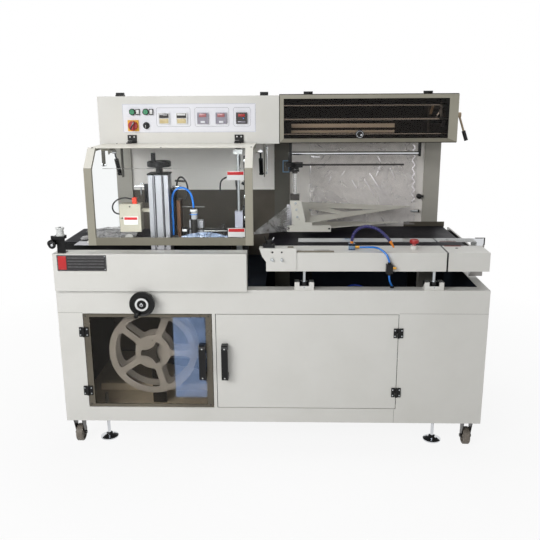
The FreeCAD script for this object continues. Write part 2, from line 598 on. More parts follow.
def make_front_wheel():
    """Dished handwheel with a pale ring and hex nut, on a shaft through the base front."""
    rim = "wheel_radius"
    depth = "wheel_depth"
    disc = turned("wheel_disc", [
        ("0", "0"), ("ring_outer", "0"), ("ring_outer", "wheel_web"), (rim + " - wheel_rim", "wheel_web"),
        (rim + " - wheel_rim", "2"), (rim + " - 3", "0"), (rim, "3"), (rim, depth + " - 8"),
        (rim + " - 3", depth + " - 5"), (rim + " - wheel_rim", depth + " - 8"),
        (rim + " - wheel_rim", "2 * wheel_web"), ("ring_inner", "2 * wheel_web"), ("ring_inner", depth),
        ("0", depth)])
    put(disc, ("wheel_x", "wheel_front", "wheel_z"), Rotation(Vector(1, 0, 0), -90))
    ring = turned("wheel_ring", [("ring_inner", "0"), ("ring_outer", "0"), ("ring_outer", "1.5"), ("ring_inner", "1.5")])
    put(ring, ("wheel_x", "wheel_front - 1.5", "wheel_z"), Rotation(Vector(1, 0, 0), -90))
    hexagon = []
    for number in range(6):
        turn = math.radians(60 * number)
        hexagon.append(("hex_radius * %.4f" % math.cos(turn), "hex_radius * %.4f" % math.sin(turn)))
    nut = extrude("wheel_nut", "XY_Plane", hexagon, "5")
    put(nut, ("wheel_x", "wheel_front - 5", "wheel_z"), Rotation(Vector(1, 0, 0), -90))
    shaft = bar("wheel_shaft", "y", ("wheel_x", "wheel_front + wheel_depth", "wheel_z"), "shaft_radius",
                "-wheel_front - wheel_depth + 16")
    collar = bar("wheel_collar", "y", ("wheel_x", "wall + 0.3", "wheel_z"), "collar_radius", "12")
    pin = bar("wheel_pin", "y", ("wheel_x + grip_offset_x", "wheel_front - grip_length + 4", "wheel_z + grip_offset_z"),
              "grip_pin", "grip_length")
    finish("front_handwheel", fuse("front_wheel_joined", [disc, ring, nut, shaft, collar, pin]))
    grip = turned("grip_form", [
        ("grip_pin + running_gap", "0"), ("grip_radius - 3", "0"), ("grip_radius", "5"),
        ("grip_radius - 2", "grip_length * 0.7"), ("grip_radius", "grip_length - 5.5"),
        ("grip_radius", "grip_length - 0.5"), ("grip_pin + running_gap", "grip_length - 0.5")])
    body_turn = Rotation(Vector(1, 0, 0), -90)
    grip.Placement = FreeCAD.Placement(Vector(0, 0, 0), body_turn)
    finish("handwheel_grip", grip, ("wheel_x + grip_offset_x", "wheel_front - grip_length", "wheel_z + grip_offset_z"))


def make_post_wheel():
    """Handwheel on top of the sealing post, with an upright grip."""
    rim = "knob_wheel_radius"
    high = "knob_wheel_high"
    disc = turned("post_disc", [
        ("0", "0"), ("shaft_radius * 2", "0"), ("shaft_radius * 2", "wheel_web / 2"),
        (rim + " - wheel_rim", "wheel_web / 2"), (rim + " - wheel_rim", "2"), (rim + " - 3", "0"), (rim, "3"),
        (rim, high + " - 3"), (rim + " - 3", high), (rim + " - wheel_rim", high + " - 2"),
        (rim + " - wheel_rim", "wheel_web"), ("shaft_radius * 2", "wheel_web"), ("shaft_radius * 1.5", high),
        ("0", high)])
    middle = ("post_x + post_wide / 2", "post_y + post_deep / 2", "knob_wheel_z")
    put(disc, middle)
    hub = bar("post_hub", "z", (middle[0], middle[1], "post_top + cap_thick + 0.3"), "shaft_radius * 1.7",
              "knob_wheel_z - post_top - cap_thick - 0.3")
    screw = bar("post_screw", "z", (middle[0], middle[1], "head_top"), "shaft_radius", "knob_wheel_z - head_top")
    grip = bar("post_grip", "z", (middle[0] + " - post_grip_x", middle[1], "knob_wheel_z + wheel_web / 2"),
               "grip_radius", "post_grip_top - knob_wheel_z - wheel_web / 2")
    finish("post_handwheel", fuse("post_wheel_joined", [disc, hub, screw, grip]))


# Overhead boxes, columns and back plates


def make_columns():
    """Three box-section columns that carry the overhead boxes."""
    pieces = []
    for name, left, foot in (("left", "column_left_x", "base_top"), ("mid", "column_mid_x", "base_bottom + wall"),
                             ("right", "column_right_x", "base_bottom + wall")):
        outer = box("column_" + name, (left, "column_front", foot),
                    ("column_wide", "column_depth", "box_bottom - (%s)" % foot))
        inner = box("column_core_" + name, (left + " + wall", "column_front + wall", "%s - 1" % foot),
                    ("column_wide - 2 * wall", "column_depth - 2 * wall", "box_bottom - (%s) + 2" % foot))
        pieces.append(cut("column_tube_" + name, outer, [inner]))
    finish("columns", group("columns_group", pieces))


def make_back_wall():
    """Pale back plates between the columns and the dark plate behind the sealing head."""
    pieces = []
    left_edge = "column_left_x + column_wide"
    middle_edge = "column_mid_x + column_wide"
    pieces.append(box("back_upper", (left_edge, "back_plate_y", "dark_top"),
                      ("column_mid_x - (%s)" % left_edge, "wall", "box_bottom - dark_top")))
    pieces.append(box("back_lower", (left_edge, "back_plate_y", "base_top"),
                      ("column_mid_x - (%s)" % left_edge, "wall", "dark_top - base_top")))
    pieces.append(box("back_film", (middle_edge, "back_plate_y", "base_top - wall"),
                      ("column_right_x - (%s)" % middle_edge, "wall", "box_bottom - base_top + wall")))
    finish("back_wall", group("back_wall_group", pieces))


def make_control_box():
    """Sheet box open at the rear, its rear cover, and the strut and guide brackets under it."""
    outer = box("box_outer", ("box_left", "box_front", "box_bottom"),
                ("box_width", "box_back - box_front", "box_top - box_bottom"))
    inner = box("box_inner", ("box_left + sheet", "box_front + sheet", "box_bottom + sheet"),
                ("box_width - 2 * sheet", "box_back - box_front", "box_top - box_bottom - 2 * sheet"))
    shell = cut("box_shell", outer, [inner])
    rear = box("box_rear", ("box_left", "box_back", "box_bottom"), ("box_width", "sheet", "box_top - box_bottom"))
    pieces = [shell, rear]
    for tag, middle in (("right", "strut_right_x"), ("left", "strut_left_x")):
        plate_x = middle + " + strut_eye_wide / 2 + 3"
        plate = box("strut_plate_" + tag, (plate_x, "box_front + 1", "strut_foot_z - 14"),
                    ("strut_plate", "28", "box_bottom - strut_foot_z + 14"))
        stud = bar("strut_stud_" + tag, "x", (middle + " - strut_eye_wide / 2 - 2", "strut_foot_y", "strut_foot_z"),
                   "stud_radius", "strut_eye_wide + 6")
        pieces.append(fuse("strut_mount_" + tag, [plate, stud]))
    finish("control_box", group("control_box_group", pieces))


METERS = ("panel_left + 153", "panel_left + 227", "panel_left + 316", "panel_left + 393", "panel_left + 479")


def make_control_panel():
    """Overlay, five meters, button bezels, white tell-tales and the yellow switch plate."""
    face = "box_front - panel_thick"
    pieces = [box("overlay", ("panel_left", face, "panel_low"), ("panel_width", "panel_thick", "panel_high"))]
    for number, left in enumerate(METERS, start=1):
        frame = box("meter_%d" % number, (left, face + " - meter_depth", "meter_low"),
                    ("meter_size", "meter_depth", "meter_size"))
        glass = box("meter_glass_%d" % number, (left + " + 4", face + " - meter_depth - 1", "meter_low + 4"),
                    ("meter_size - 8", "3", "meter_size - 8"))
        pieces.append(cut("meter_frame_%d" % number, frame, [glass]))
    for name, x in (("start", "start_x"), ("stop", "stop_x")):
        ring = bar(name + "_bezel", "y", (x, face + " - bezel_depth", "button_z"), "button_radius + bezel_width",
                   "bezel_depth")
        hole = bar(name + "_hole", "y", (x, face + " - bezel_depth - 1", "button_z"), "button_radius + running_gap",
                   "bezel_depth + 0.5")
        pieces.append(cut(name + "_ring", ring, [hole]))
        pieces.append(box(name + "_tally", (x + " + button_radius + bezel_width + 1", face + " - bezel_depth",
                                            "button_z - button_radius - 2"),
                          ("16", "bezel_depth", "2 * button_radius + 4")))
    pieces.append(box("switch_back", ("switch_x - switch_plate / 2", face + " - 4", "switch_z - switch_plate / 2"),
                      ("switch_plate", "4", "switch_plate")))
    pieces.append(bar("selector_ring", "y", ("selector_x", face + " - 4", "switch_z"), "selector_radius + 3", "4"))
    finish("control_panel", group("control_panel_group", pieces))


def make_controls():
    """Two push buttons, the rotary main switch and the selector."""
    face = "box_front - panel_thick"
    for label, x in (("green_button_left", "start_x"), ("green_button_right", "stop_x")):
        top = face + " - bezel_depth - 5"
        cap = bar(label + "_cap", "y", (x, top, "button_z"), "button_radius", "button_length - 3")
        finish(label, group(label + "_group", [cap]))
    disc = bar("switch_disc", "y", ("switch_x", face + " - 4.3 - switch_depth / 2", "switch_z"), "switch_radius",
               "switch_depth / 2")
    grip = box("switch_grip", ("switch_x - 6", face + " - 4.3 - switch_depth", "switch_z - switch_radius"),
               ("12", "switch_depth / 2 + 1", "2 * switch_radius"))
    finish("main_switch", fuse("main_switch_joined", [disc, grip]))
    base = bar("selector_disc", "y", ("selector_x", face + " - 4.3 - selector_depth / 2", "switch_z"),
               "selector_radius", "selector_depth / 2")
    blade = box("selector_blade", ("selector_x - 4", face + " - 4.3 - selector_depth", "switch_z - selector_radius"),
                ("8", "selector_depth / 2 + 1", "2 * selector_radius"))
    finish("selector_knob", fuse("selector_joined", [base, blade]))


def make_film_housing():
    """Panels of the film housing, open at the front and slotted below for the film."""
    left = "box_left + box_width"
    front = "box_front + film_door_depth + 0.4"
    deep = "box_back - (%s)" % front
    high = "housing_top - box_bottom"
    pieces = []
    pieces.append(box("housing_top_panel", (left, front, "housing_top - wall"), ("housing_width", deep, "wall")))
    pieces.append(box("housing_left", (left, front, "box_bottom"), ("wall", deep, high + " - wall")))
    right = box("housing_right", (left + " + housing_width - wall", front, "box_bottom"), ("wall", deep, high + " - wall"))
    hole = bar("lever_hole", "x", (left + " + housing_width - wall - 1", "lever_y", "lever_z"),
               "grip_pin + running_gap", "wall + 2")
    pieces.append(cut("housing_right_cut", right, [hole]))
    pieces.append(box("housing_rear", (left + " + wall", "box_back - wall", "box_bottom"),
                      ("housing_width - 2 * wall", "wall", high + " - wall")))
    inner = "housing_width - 2 * wall"
    pieces.append(box("housing_floor_front", (left + " + wall", front, "box_bottom"),
                      (inner, "column_front - housing_slot - (%s)" % front, "wall")))
    pieces.append(box("housing_floor_rear", (left + " + wall", "column_front", "box_bottom"),
                      (inner, "box_back - wall - column_front", "wall")))
    finish("film_housing", group("film_housing_group", pieces))


def make_film_rods():
    """Hanger plate, film rods, slotted plate and end gear inside and below the housing."""
    left = "box_left + box_width"
    rod_long = "housing_width - 2 * wall"
    floor_top = "box_bottom + wall"
    pieces = []
    hanger = box("hanger_plate", ("hanger_x", "hanger_y", "hanger_low"), ("12", "16", "box_bottom - hanger_low"))
    shelf = box("hanger_shelf", ("hanger_x", "forming_y - 18", "hanger_low"),
                ("forming_x + 18 - hanger_x", "hanger_y + 16 - forming_y + 18", "8"))
    swivel = bar("hanger_bore", "z", ("forming_x", "forming_y", "hanger_low - 1"), "forming_rod + running_gap", "10")
    socket = bar("idler_socket", "x", ("hanger_x + 4", "idler_y", "idler_z"), "4 + running_gap", "10")
    plate = cut("hanger_joined", fuse("hanger_raw", [hanger, shelf]), [swivel, socket])
    pieces.append(plate)
    far = box("idler_hanger", ("idler_right + 0.3", "hanger_y - 4", "idler_z - 14"),
              ("10", "24", "box_bottom - idler_z + 14"))
    far_socket = bar("idler_far_socket", "x", ("idler_right", "idler_y", "idler_z"), "4 + running_gap", "7")
    pieces.append(cut("idler_bracket", far, [far_socket]))
    pieces.append(bar("guide_thin", "x", ("hanger_x + 12", "idler_y", "hanger_low + 22"), "4", "490"))
    for number, (y, z, radius) in enumerate((("430", "1402", "6"), ("430", "1343", "8"), ("400", "1281", "5"))):
        pieces.append(bar("film_rod_%d" % number, "x", (left + " + wall", y, z), radius, rod_long))
    slotted = box("slotted", ("938", "440", floor_top), ("445", "6", "62"))
    slot = box("slotted_window", ("950", "438", floor_top + " + 22"), ("421", "10", "14"))
    pieces.append(cut("slotted_plate", slotted, [slot]))
    pieces.append(box("gear_plate", (left + " + housing_width - 110", "430", floor_top), ("8", "90", "150")))
    pieces.append(bar("gear_roll", "x", (left + " + housing_width - 102", "475", "1345"), "26", "60"))
    pieces.append(bar("gear_pulley", "x", (left + " + housing_width - 42", "475", "1345"), "38", "12"))
    finish("film_rods", group("film_rods_group", pieces))


def make_idler():
    """Bright idler bar on stub ends."""
    rod = bar("idler_rod", "x", ("hanger_x + 12.3", "idler_y", "idler_z"), "idler_radius",
              "idler_right - hanger_x - 12.3")
    stub = bar("idler_stub", "x", ("hanger_x + 5", "idler_y", "idler_z"), "4", "idler_right - hanger_x + 1")
    finish("film_roller", fuse("film_roller_joined", [rod, stub]))


def make_film_door():
    """Film door frame with its tinted window, chrome knob and top hinge leaves."""
    left = "box_left + box_width + 3"
    wide = "housing_width - 6"
    low = "box_bottom + 4"
    high = "housing_top - box_bottom - 7"
    pan = box("film_pan", (left, "box_front", low), (wide, "film_door_depth", high))
    light_wide = wide + " - film_border - film_stile"
    light = box("film_light", (left + " + film_border", "box_front - 1", low + " + film_border"),
                (light_wide, "film_door_depth + 2", high + " - 2 * film_border"))
    lap_x = left + " + film_border - window_lap"
    lap_z = low + " + film_border - window_lap"
    lap_wide = light_wide + " + 2 * window_lap"
    lap_high = high + " - 2 * film_border + 2 * window_lap"
    rebate = box("film_rebate", (lap_x, "box_front + window_lip", lap_z), (lap_wide, "film_door_depth", lap_high))
    frame = cut("film_frame", pan, [light, rebate])
    knob = bar("film_knob", "y", ("film_knob_x", "box_front - 14", "film_knob_z"), "film_knob_radius", "12")
    neck = bar("film_neck", "y", ("film_knob_x", "box_front - 3", "film_knob_z"), "film_knob_radius / 2",
               "3 + window_lip")
    pieces = [frame, fuse("film_knob_joined", [knob, neck])]
    for number, start in enumerate(("film_hinge_left", "film_hinge_right"), start=1):
        pieces.append(slim_hinge("film_leaf_%d" % number, start, "hood_hinge_wide", FILM_PIVOT_Y, FILM_PIVOT_Z,
                                 True, film_moving_leaf))
    finish("film_door", group("film_door_group", pieces))
    window = box("film_window", (lap_x, "box_front + window_lip", lap_z), (lap_wide, "window_thick", lap_high))
    finish("film_door_window", group("film_window_group", [window]))


def make_clamp_lever():
    """Bent clamp lever with a black grip on the housing's right side."""
    side = "box_left + box_width + housing_width"
    stub = bar("lever_stub", "x", (side + " - 8", "lever_y", "lever_z"), "grip_pin", "12")
    hub = bar("lever_hub", "x", (side + " + 0.4", "lever_y", "lever_z"), "11", "18")
    tilt = Rotation(Vector(0, 1, 0), 180 - N["lever_tilt"])
    arm = bar("lever_arm", "z", (side + " + 11", "lever_y", "lever_z"), "4.5", "lever_long")
    grip = bar("lever_handle", "z", (side + " + 11 + lever_long * sin(lever_tilt)", "lever_y",
                                     "lever_z - lever_long * cos(lever_tilt)"), "8", "lever_grip")
    arm.Placement = FreeCAD.Placement(Vector(0, 0, 0), tilt)
    grip.Placement = FreeCAD.Placement(Vector(0, 0, 0), tilt)
    finish("clamp_lever", fuse("lever_joined", [stub, hub, arm, grip]))


# Safety hood and gas struts


def make_hood():
    """Two bent side arms, a top sheet and a bottom rail, with the strut studs and hinge leaves."""
    profile = [
        ("0", "hood_bottom"), ("hood_thick", "hood_bottom"), ("hood_thick", "hood_bend - hood_thick * 0.4"),
        ("hood_bevel + hood_thick * 0.4", "hood_top - hood_thick"), ("hood_back", "hood_top - hood_thick"),
        ("hood_back", "hood_top"), ("hood_bevel", "hood_top"), ("0", "hood_bend")]
    arms = {}
    for tag, left in (("left", "hood_left"), ("right", "hood_left + hood_width - hood_strip")):
        arm = extrude("hood_arm_" + tag, "YZ_Plane", profile, "hood_strip")
        arms[tag] = put(arm, (left, "0", "0"))
    inner_x = "hood_left + hood_strip"
    inner_wide = "hood_width - 2 * hood_strip"
    pieces = [box("hood_lid", (inner_x, "hood_bevel", "hood_top - hood_sheet"),
                  (inner_wide, "hood_back - hood_bevel", "hood_sheet")),
              box("hood_rail", (inner_x, "0", "hood_bottom"), (inner_wide, "hood_thick", "hood_strip"))]
    for tag, face, middle in (("right", "hood_left + hood_width", "strut_right_x"),
                              ("left", "hood_left + hood_strip", "strut_left_x")):
        start = face + " - 2"
        stud = bar("hood_stud_" + tag, "x", (start, "strut_head_y", "strut_head_z"), "stud_radius",
                   "%s - strut_eye_wide / 2 - 0.5 - (%s)" % (middle, start))
        ear = box("hood_ear_" + tag, (start, "strut_head_y - 10", "strut_head_z - 10"),
                  ("2", "20", "hood_top - strut_head_z + 9"))
        pieces.append(fuse("hood_side_" + tag, [arms[tag], stud, ear]))
    leaves = [slim_hinge("hood_leaf_%d" % number, left, "hood_hinge_wide", "hood_pivot_y", "hood_pivot_z", True,
                         hood_moving_leaf)
              for number, left in enumerate(("hood_hinge_left", "hood_hinge_right"), start=1)]
    finish("hood_frame", group("hood_group", pieces + leaves))
    window = extrude("hood_window_bent", "YZ_Plane", [
        ("4", "hood_bottom + hood_strip"), ("4 + window_thick", "hood_bottom + hood_strip"),
        ("4 + window_thick", "hood_bend - 3"), ("hood_bevel + 8", "hood_top - hood_sheet"),
        ("hood_bevel + 2", "hood_top - hood_sheet"), ("4", "hood_bend - 1")], inner_wide)
    finish("hood_window", window, (inner_x, "0", "0"))


def make_struts():
    """Gas struts: tubes on the fixed studs, rods that slide in them."""
    rise = N["strut_head_z"] - N["strut_foot_z"]
    lean = N["strut_foot_y"] - N["strut_head_y"]
    closed = math.hypot(rise, lean)
    turn = Rotation(Vector(1, 0, 0), math.degrees(math.atan2(lean, rise)))
    tubes = []
    rods = []
    for tag, middle in (("right", N["strut_right_x"]), ("left", N["strut_left_x"])):
        half = N["strut_eye_wide"] / 2
        eye = Part.makeCylinder(N["strut_eye"], 2 * half, Vector(-half, 0, 0), Vector(1, 0, 0))
        tube = Part.makeCylinder(N["strut_radius"], N["strut_tube"] - 12, Vector(0, 0, 12))
        neck = Part.makeCylinder(N["strut_rod"] + 1, 14, Vector(0, 0, 4))
        stud = Part.makeCylinder(N["stud_radius"] + N["running_gap"], 4 * half, Vector(-2 * half, 0, 0), Vector(1, 0, 0))
        bore = Part.makeCylinder(N["strut_rod"] + N["running_gap"], N["strut_tube"], Vector(0, 0, 19))
        tube_shape = eye.fuse([tube, neck]).cut(stud.fuse(bore)).removeSplitter()
        rod = Part.makeCylinder(N["strut_rod"], closed - 5 - 20, Vector(0, 0, 20))
        head = Part.makeCylinder(N["strut_eye"], 2 * half, Vector(-half, 0, closed), Vector(1, 0, 0))
        rod_shape = rod.fuse(head).removeSplitter()
        place = FreeCAD.Placement(Vector(middle, N["strut_foot_y"], N["strut_foot_z"]), turn)
        for shapes, shape, kind in ((tubes, tube_shape, "tube"), (rods, rod_shape, "rod")):
            feature = document.addObject("Part::Feature", "strut_%s_%s" % (kind, tag))
            feature.Shape = shape
            feature.Placement = place
            shapes.append(feature)
    finish("strut_tubes", group("strut_tubes_group", tubes))
    finish("strut_rods", group("strut_rods_group", rods))


# Side sealing unit under the hood


def make_post():
    """Grooved aluminium profile with its cap and rear plate."""
    right = "post_wide"
    deep = "post_deep"
    groove = "groove_wide"
    corners = [("0", "0")]
    for share in ("post_wide * 0.27", "post_wide * 0.73"):
        corners += [(share + " - groove_wide / 2", "0"), (share + " - groove_wide / 2", "groove_deep"),
                    (share + " + groove_wide / 2", "groove_deep"), (share + " + groove_wide / 2", "0")]
    corners += [(right, "0"), (right, deep + " / 2 - " + groove + " / 2"),
                (right + " - groove_deep", deep + " / 2 - " + groove + " / 2"),
                (right + " - groove_deep", deep + " / 2 + " + groove + " / 2"),
                (right, deep + " / 2 + " + groove + " / 2"), (right, deep), ("0", deep)]
    profile = extrude("post_profile", "XY_Plane", corners, "post_top - base_top",
                      [("post_wide / 2", "post_deep / 2", "post_bore")])
    put(profile, ("post_x", "post_y", "base_top"))
    cap = box("post_cap", ("post_x - 3", "post_y - 2", "post_top"), ("post_wide + 6", "post_deep + 2", "cap_thick"))
    hole = bar("cap_hole", "z", ("post_x + post_wide / 2", "post_y + post_deep / 2", "post_top - 1"),
               "shaft_radius + running_gap", "cap_thick + 2")
    finish("seal_post", group("seal_post_group", [profile, cut("post_cap_bored", cap, [hole])]))


def make_seal_head():
    """Sliding carriage behind the post with the heated blade, cylinder and film nip wheels."""
    back = "post_y + post_deep + head_gap"
    carriage = box("carriage", ("post_x - 10", back, "head_bottom + 40"),
                   ("blade_x + blade_wide - post_x + 10", "head_plate", "head_top - head_bottom - 40"))
    blade = box("blade_bar", ("blade_x", "post_y + 30", "head_bottom"),
                ("blade_wide", "post_deep - 30 + head_gap + head_plate", "blade_top - head_bottom"))
    foot = box("head_foot", ("blade_x", "post_y + 34", "head_bottom"), ("head_right - blade_x", "58", "20"))
    tower = box("head_tower", ("cylinder_x - 22", "post_y + 66", "head_bottom + 20"),
                ("56", "26", "cylinder_low - head_bottom - 20"))
    cylinder = bar("head_cylinder", "z", ("cylinder_x", "post_y + 50", "head_bottom + 20"), "cylinder_radius",
                   "cylinder_top - head_bottom - 20")
    cap = bar("head_cap", "z", ("cylinder_x", "post_y + 50", "cylinder_low + 10"), "cylinder_radius + 3", "30")
    rail = bar("head_rail", "x", ("blade_x + blade_wide - 2", "post_y + 60", "head_bottom + 60"), "4",
               "head_right - blade_x - blade_wide - 20")
    end = box("head_end", ("head_right - 34", "post_y + 44", "head_bottom + 16"), ("14", "30", "62"))
    port = box("head_port", ("blade_x - 24.4", "post_y + 26", "head_bottom + 20"), ("26", "16", "20"))
    pieces = [carriage, blade, foot, tower, cylinder, cap, rail, end, port]
    for number, x in enumerate(("blade_x + 45", "head_right - 55", "head_right - 110"), start=1):
        pieces.append(bar("nip_%d" % number, "y", (x, "post_y + 18", "head_bottom + 18"), "nip_radius", "20"))
    finish("seal_head", fuse("seal_head_joined", pieces))


def make_junction_box():
    """Switch box on an arm from the post, with a red plug on its lid."""
    top = "junction_low + junction_high"
    body = box("junction_case", ("junction_x", "post_y + 4", "junction_low"),
               ("junction_wide", "junction_deep", "junction_high"))
    lid = box("junction_lid", ("junction_x - 2", "post_y + 2", "junction_low - 2"),
              ("junction_wide + 4", "4", "junction_high + 4"))
    arm = box("junction_arm", ("junction_x + junction_wide", "post_y + 30", top + " - 34"),
              ("post_x - junction_x - junction_wide", "14", "14"))
    plug = box("junction_plug", ("junction_x + 46", "post_y + 22", top), ("17", "17", "24"))
    finish("junction_box", fuse("junction_joined", [body, lid, arm, plug]))


def make_guide_rod():
    """Jaw guide: foot pillar, aluminium block, bright rod and the top bracket to the back plate."""
    block_x = "guide_x - guide_block / 2"
    block_y = "guide_y - guide_block / 2"
    pieces = [box("guide_foot", (block_x + " + 4", block_y + " + 4", "base_top"),
                  ("guide_block - 8", "guide_block - 8", "guide_block_low - base_top")),
              box("guide_block_body", (block_x, block_y, "guide_block_low"),
                  ("guide_block", "guide_block", "guide_block_high")),
              bar("guide_shaft", "z", ("guide_x", "guide_y", "guide_block_low + guide_block_high"), "guide_radius",
                  "guide_top - guide_block_low - guide_block_high"),
              box("guide_head", ("guide_x - 18", block_y, "guide_top"), ("36", "guide_block", "18")),
              box("guide_arm", ("guide_x - 8", block_y + " + guide_block", "guide_top"),
                  ("16", "back_plate_y - guide_y - guide_block / 2", "18"))]
    finish("guide_rod", fuse("guide_joined", pieces))


# Conveyors


def conveyor(tag, left, right, top, back):
    """Belt loop, its drive roller and the side rails with bed, tail roller and axle bores."""
    radius = "roller_radius"
    loop = "roller_radius + running_gap + belt_thick"
    axis_z = "%s - (%s)" % (top, loop)
    drive_x = "%s + %s" % (left, loop) if tag == "outfeed" else "%s - (%s)" % (right, loop)
    tail_x = "%s - (%s)" % (right, loop) if tag == "outfeed" else "%s + %s" % (left, loop)
    wide = "%s - belt_front" % back
    first, last = (drive_x, tail_x) if tag == "outfeed" else (tail_x, drive_x)
    span = "(%s) - (%s)" % (last, first)

    def loop_solid(name, grow, start_y, length):
        """Stadium-shaped solid round both rollers."""
        block = box(name + "_block", (first, start_y, "%s - (%s)" % (axis_z, grow)), (span, length, "2 * (%s)" % grow))
        ends = [bar(name + "_end_%d" % number, "y", (x, start_y, axis_z), grow, length)
                for number, x in enumerate((first, last))]
        return fuse(name, [block] + ends)

    outer = loop_solid(tag + "_loop", loop, "belt_front", wide)
    inner = loop_solid(tag + "_loop_inner", "roller_radius + running_gap", "belt_front - 1", wide + " + 2")
    finish(tag + "_belt", cut(tag + "_belt_cut", outer, [inner]))

    front_rail = "belt_front - rail_gap - rail_thick"
    back_rail = back + " + rail_gap"
    drum = bar(tag + "_drum", "y", (drive_x, "belt_front - 1", axis_z), radius, wide + " + 2")
    axle = bar(tag + "_axle", "y", (drive_x, front_rail, axis_z), "axle_small",
               "%s + rail_thick - (%s)" % (back_rail, front_rail))
    finish(tag + "_roller", fuse(tag + "_roller_joined", [drum, axle]))

    pieces = []
    rail_left = "%s + 8" % left if tag == "outfeed" else left
    rail_long = "%s - %s - 8" % (right, left)
    for number, start_y in enumerate((front_rail, back_rail)):
        rail = box("%s_rail_%d" % (tag, number), (rail_left, start_y, top + " - rail_high - 3"),
                   (rail_long, "rail_thick", "rail_high"))
        bore = bar("%s_bore_%d" % (tag, number), "y", (drive_x, start_y + " - 1", axis_z), "axle_small + running_gap",
                   "rail_thick + 2")
        pieces.append(cut("%s_side_%d" % (tag, number), rail, [bore]))
    pieces.append(bar(tag + "_tail", "y", (tail_x, "belt_front - rail_gap", axis_z), radius, wide + " + 2 * rail_gap"))
    pieces.append(box(tag + "_bed", (first + " + 2 * roller_radius", "belt_front - rail_gap",
                                     "%s - belt_thick - bed_thick" % top),
                      (span + " - 4 * roller_radius", wide + " + 2 * rail_gap", "bed_thick")))
    return pieces, front_rail, back_rail


def make_outfeed():
    """Outfeed conveyor on two pairs of legs, with the film roller's bracket at its front corner."""
    pieces, front_rail, back_rail = conveyor("outfeed", "outfeed_left", "outfeed_right", "outfeed_top", "outfeed_back")
    leg_high = "outfeed_top - rail_high - 3 - base_top"
    for number, x in enumerate(("60", "560")):
        for tag, y in (("front", front_rail), ("back", back_rail)):
            pieces.append(box("outfeed_leg_%s_%d" % (tag, number), (x, y, "base_top"), ("30", "rail_thick", leg_high)))
    plate = box("nylon_plate", ("22", "-4", "cover_top"), ("32", "4", "58"))
    foot = box("nylon_foot", ("22", "-4", "cover_top"), ("32", "30", "3"))
    ledge = box("nylon_ledge", ("12", "-16", "cover_top + 56"), ("42", "40", "12"))
    pin = bar("nylon_pin", "z", ("36", "4", "cover_top + 66"), "4", "36")
    stud = bar("nylon_stud", "y", ("6", "-14", "cover_top + 42"), "5", "24")
    arm = box("nylon_arm", ("0", "-4", "cover_top + 34"), ("22", "8", "34"))
    disc = bar("nylon_disc", "y", ("6", "-26", "cover_top + 42"), "14", "12")
    pieces.append(fuse("nylon_bracket", [plate, foot, ledge, pin, stud, arm, disc]))
    finish("outfeed_frame", group("outfeed_frame_group", pieces))
    roller = turned("nylon_form", [
        ("4 + running_gap", "0"), ("17", "0"), ("17", "4"), ("14", "8"), ("14", "24"), ("17", "28"),
        ("17", "32"), ("4 + running_gap", "32")])
    finish("nylon_roller", roller, ("36", "4", "cover_top + 68.3"))


def make_infeed():
    """Infeed conveyor with rear legs, end plate, rear rail and the bright product fence."""
    pieces, front_rail, back_rail = conveyor("infeed", "infeed_left", "infeed_right", "infeed_top", "infeed_back")
    for number, x in enumerate(("leg_left_x", "leg_right_x")):
        pieces.append(box("infeed_leg_%d" % number, (x, back_rail + " + rail_thick", "base_bottom + wall"),
                          ("conveyor_leg", "8", "infeed_top - 8 - base_bottom - wall")))
    end_x = "fence_right - fence_leg - 8"
    pieces.append(box("infeed_end", (end_x, front_rail, "infeed_top - rail_high"),
                      ("8", "%s + rail_thick - (%s)" % (back_rail, front_rail), "rail_high - 6")))
    for number, y in enumerate((front_rail, back_rail)):
        pieces.append(box("infeed_tie_%d" % number, ("infeed_right - 8", y, "infeed_top - rail_high"),
                          ("%s - infeed_right + 8" % end_x, "rail_thick", "rail_high - 20")))
    corner = "fence_right - fence_leg"
    pieces.append(box("fence_strip_plate", ("fence_left", "fence_y", "fence_top - fence_strip"),
                      ("%s - fence_left" % corner, "wall", "fence_strip")))
    fence = extrude("fence_leg_plate", "XZ_Plane", [
        (corner, "fence_low"), ("fence_right", "fence_low"), ("fence_right", "fence_top - 12"),
        ("fence_right - 3.5", "fence_top - 3.5"), ("fence_right - 12", "fence_top"), (corner, "fence_top")], "wall")
    pieces.append(put(fence, ("0", "fence_y + wall", "0")))
    pieces.append(box("rear_rail", ("1470", back_rail + " + 1", "infeed_top - 3"), ("190", "4", "24")))
    finish("infeed_frame", group("infeed_frame_group", pieces))


